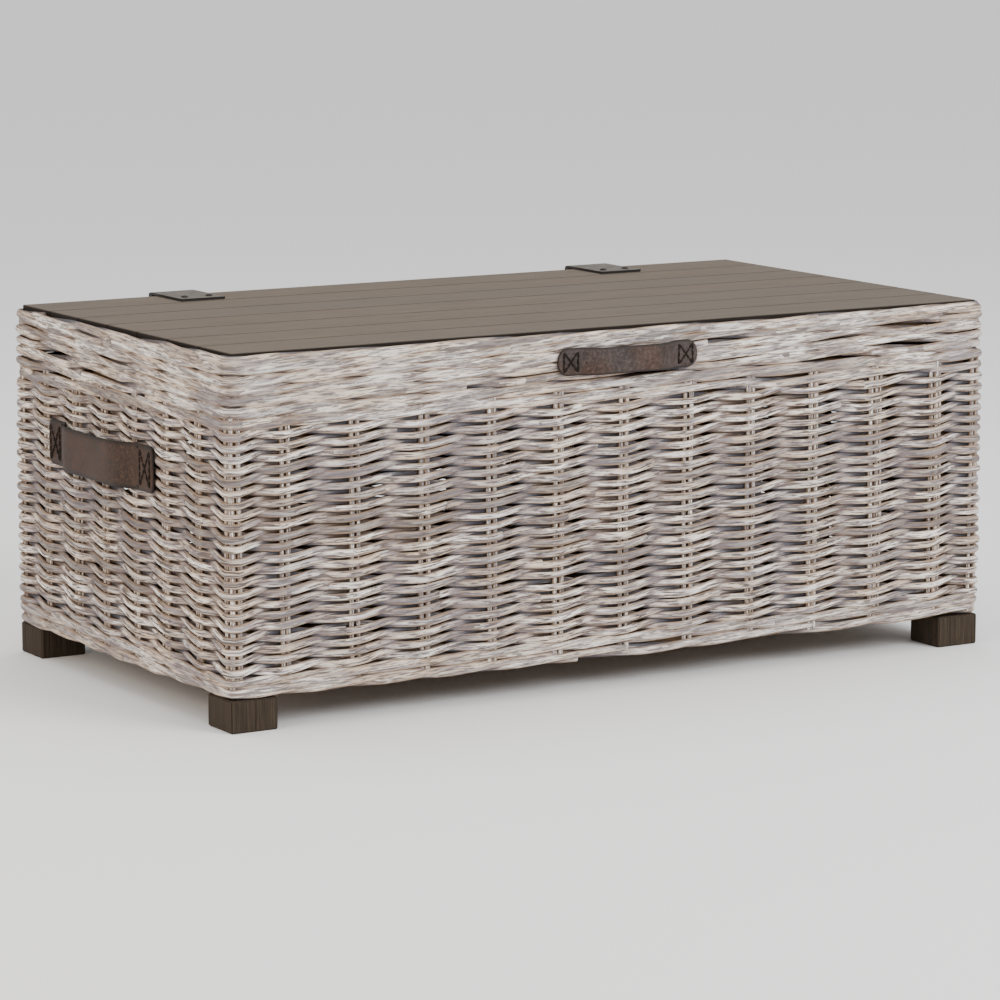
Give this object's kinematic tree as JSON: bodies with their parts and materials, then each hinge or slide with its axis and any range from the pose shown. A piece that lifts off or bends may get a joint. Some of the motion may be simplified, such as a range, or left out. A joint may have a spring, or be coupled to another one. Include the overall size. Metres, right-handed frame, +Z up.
{
  "type": "lidded wicker coffee table",
  "caption": "Rectangular woven wicker trunk coffee table on square wooden feet, with a hinged slatted wood lid, leather strap handles and open storage inside.",
  "frame": {"origin": "bottom centre of the whole table's box, on the surface the feet stand on", "axes": "+X along the front to the right, +Y from the front to the hinged back, +Z up"},
  "size_m": [1.1446, 0.628, 0.4558],
  "materials": {
    "board": "taupe washed, fine straight grain, satin",
    "dark_wood": "dark brown stain, matt",
    "frame_wood": "plain sawn softwood, matt",
    "wicker": "whitewashed rattan, matt, streaked",
    "leather": "worn dark brown leather",
    "hinge_iron": "brown-grey painted steel",
    "screw_steel": "blackened steel"
  },
  "bodies": {
    "carcass": {"base_panel": "frame_wood", "base_rail_back": "frame_wood", "base_rail_front": "frame_wood", "base_rail_left": "frame_wood", "base_rail_right": "frame_wood", "foot_back_left": "dark_wood", "foot_back_right": "dark_wood", "foot_front_left": "dark_wood", "foot_front_right": "dark_wood", "handle_left": "leather", "handle_left_plate_a": "hinge_iron", "handle_left_plate_b": "hinge_iron", "handle_right": "leather", "handle_right_plate_a": "hinge_iron", "handle_right_plate_b": "hinge_iron", "hinge_left_body_leaf": "hinge_iron", "hinge_left_body_screw_a": "screw_steel", "hinge_left_body_screw_b": "screw_steel", "hinge_left_pin": "screw_steel", "hinge_right_body_leaf": "hinge_iron", "hinge_right_body_screw_a": "screw_steel", "hinge_right_body_screw_b": "screw_steel", "hinge_right_pin": "screw_steel", "post_back_left": "frame_wood", "post_back_right": "frame_wood", "post_front_left": "frame_wood", "post_front_right": "frame_wood", "top_rail_back": "frame_wood", "top_rail_front": "frame_wood", "top_rail_left": "frame_wood", "top_rail_right": "frame_wood", "wicker_wall_back": "wicker", "wicker_wall_front": "wicker", "wicker_wall_left": "wicker", "wicker_wall_right": "wicker"},
    "lid": {"handle_front": "leather", "hinge_left_lid_leaf": "hinge_iron", "hinge_left_lid_screw_a": "screw_steel", "hinge_left_lid_screw_b": "screw_steel", "hinge_right_lid_leaf": "hinge_iron", "hinge_right_lid_screw_a": "screw_steel", "hinge_right_lid_screw_b": "screw_steel", "lid_batten": "frame_wood", "lid_plank_1": "board", "lid_plank_2": "board", "lid_plank_3": "board", "lid_plank_4": "board", "lid_plank_5": "board", "lid_plank_6": "board", "lid_plank_7": "board", "lid_rail_back": "frame_wood", "lid_rail_front": "frame_wood", "lid_rail_left": "frame_wood", "lid_rail_right": "frame_wood", "wicker_rim_back": "wicker", "wicker_rim_front": "wicker", "wicker_rim_left": "wicker", "wicker_rim_right": "wicker"}
  },
  "joints": [
    {"name": "lid_hinge", "type": "hinge", "parent": "carcass", "child": "lid", "pos_m": [0, 0.30905, 0.448], "axis": [-1, 0, 0], "range_deg": [0, 100]}
  ]
}
